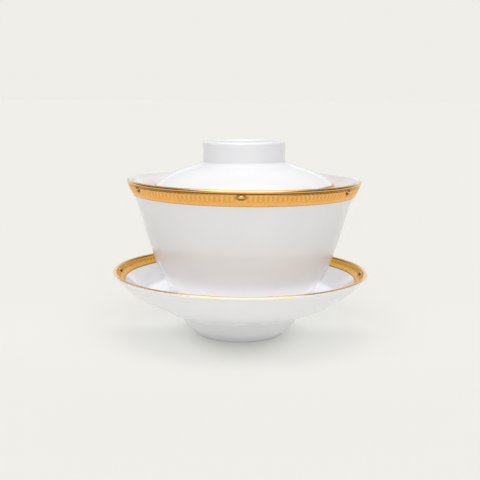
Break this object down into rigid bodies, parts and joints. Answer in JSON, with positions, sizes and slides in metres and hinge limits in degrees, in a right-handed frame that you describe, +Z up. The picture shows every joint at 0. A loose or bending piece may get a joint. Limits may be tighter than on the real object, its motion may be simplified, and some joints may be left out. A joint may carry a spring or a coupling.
{
  "type": "gaiwan",
  "caption": "Lidded porcelain tea bowl on a footed saucer, with ribbed, studded gilt bands inside the saucer's lip and round the bowl's and the lid's, and a ring knob.",
  "frame": {"origin": "centre of the underside of the saucer's foot ring", "axes": "+Z up along the saucer's axis, -Y towards the front, +X to the right seen from the front"},
  "size_m": [0.108, 0.108, 0.0822],
  "materials": {
    "porcelain": "clear high-gloss glaze over white porcelain, bare and matt under the foot rings",
    "polished_gold": "polished raised gilding",
    "matt_gold": "satin raised gilding with fine ribs"
  },
  "bodies": {
    "saucer_piece": {"saucer": "porcelain", "saucer_gold_lip": "polished_gold", "saucer_gold_band": "matt_gold", "saucer_gold_studs": "polished_gold"},
    "bowl_piece": {"bowl": "porcelain", "bowl_gold_lip": "polished_gold", "bowl_gold_band": "matt_gold", "bowl_gold_studs": "polished_gold"},
    "lid_piece": {"lid": "porcelain", "lid_gold_lip": "polished_gold", "lid_gold_band": "matt_gold", "lid_gold_studs": "polished_gold"}
  },
  "joints": [
    {"name": "bowl_lift", "type": "slide", "parent": "saucer_piece", "child": "bowl_piece", "axis": [0, 0, 1], "range_m": [0, 0.06]},
    {"name": "lid_lift", "type": "slide", "parent": "bowl_piece", "child": "lid_piece", "axis": [0, 0, 1], "range_m": [0, 0.06]}
  ]
}
